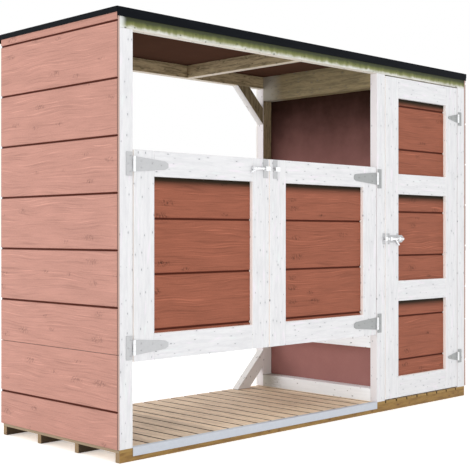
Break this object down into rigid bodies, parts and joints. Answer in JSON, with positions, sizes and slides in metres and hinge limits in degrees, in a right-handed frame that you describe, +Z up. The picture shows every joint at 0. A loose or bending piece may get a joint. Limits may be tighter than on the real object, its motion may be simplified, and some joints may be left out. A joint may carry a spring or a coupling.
{
  "type": "bin shed",
  "caption": "Oblong timber bin shed with a flat roof, an open bay behind half-height double doors and a closed tool compartment with a full-height door.",
  "frame": {"origin": "on the ground at the middle of the shed's footprint", "axes": "+X along the shed's front from left to right, front faces -Y, +Z up"},
  "size_m": [2.221, 0.7856, 1.614],
  "materials": {
    "white_timber": "thin white paint over planed softwood",
    "plain_timber": "planed softwood, partly primed",
    "red_siding": "satin brick-red paint on embossed sheet",
    "dark_board": "smooth dark red-brown film-faced board",
    "roofing_felt": "black mineral roofing felt",
    "black_trim": "satin black coated metal",
    "galvanised_steel": "galvanised"
  },
  "bodies": {
    "shed": {"floor_joists": "plain_timber", "floor_deck": "plain_timber", "front_edge_angle": "galvanised_steel", "front_posts": "white_timber", "rear_posts": "plain_timber", "front_header": "white_timber", "rear_header": "plain_timber", "roof_rafters": "plain_timber", "left_wall_rails": "plain_timber", "right_wall_rails": "plain_timber", "partition_rails": "plain_timber", "partition_panel": "dark_board", "rear_wall_rails": "plain_timber", "rear_braces": "plain_timber", "left_siding": "red_siding", "right_siding": "red_siding", "rear_siding": "red_siding", "roof_deck": "dark_board", "roof_felt": "roofing_felt", "roof_long_trims": "black_trim", "roof_end_trims": "black_trim", "left_door_hinge_plates": "galvanised_steel", "right_door_hinge_plates": "galvanised_steel", "tool_door_hinge_plates": "galvanised_steel", "tool_latch_keep": "galvanised_steel"},
    "left_bin_door": {"left_door_stiles": "white_timber", "left_door_rails": "white_timber", "left_door_panel": "red_siding", "left_door_hinge_straps": "galvanised_steel", "bin_latch_guide": "galvanised_steel"},
    "right_bin_door": {"right_door_stiles": "white_timber", "right_door_rails": "white_timber", "right_door_panel": "red_siding", "right_door_hinge_straps": "galvanised_steel", "bin_latch_keep": "galvanised_steel"},
    "tool_door": {"tool_door_stiles": "white_timber", "tool_door_rails": "white_timber", "tool_door_panels": "red_siding", "tool_door_hinge_straps": "galvanised_steel", "tool_latch_guides": "galvanised_steel"},
    "bin_bolt": {"bin_latch_bolt": "galvanised_steel"},
    "tool_bolt": {"tool_latch_bolt": "galvanised_steel"}
  },
  "joints": [
    {"name": "left_bin_door_hinge", "type": "hinge", "parent": "shed", "child": "left_bin_door", "pos_m": [-1.034, -0.3815, 0.73275], "axis": [0, 0, -1], "range_deg": [0, 170]},
    {"name": "right_bin_door_hinge", "type": "hinge", "parent": "shed", "child": "right_bin_door", "pos_m": [0.38, -0.3815, 0.73275], "axis": [0, 0, 1], "range_deg": [0, 160]},
    {"name": "tool_door_hinge", "type": "hinge", "parent": "shed", "child": "tool_door", "pos_m": [1.034, -0.3815, 0.79325], "axis": [0, 0, 1], "range_deg": [0, 170]},
    {"name": "bin_bolt_slide", "type": "slide", "parent": "left_bin_door", "child": "bin_bolt", "axis": [1, 0, 0], "range_m": [0, 0.034]},
    {"name": "tool_bolt_slide", "type": "slide", "parent": "tool_door", "child": "tool_bolt", "axis": [-1, 0, 0], "range_m": [0, 0.026]}
  ]
}
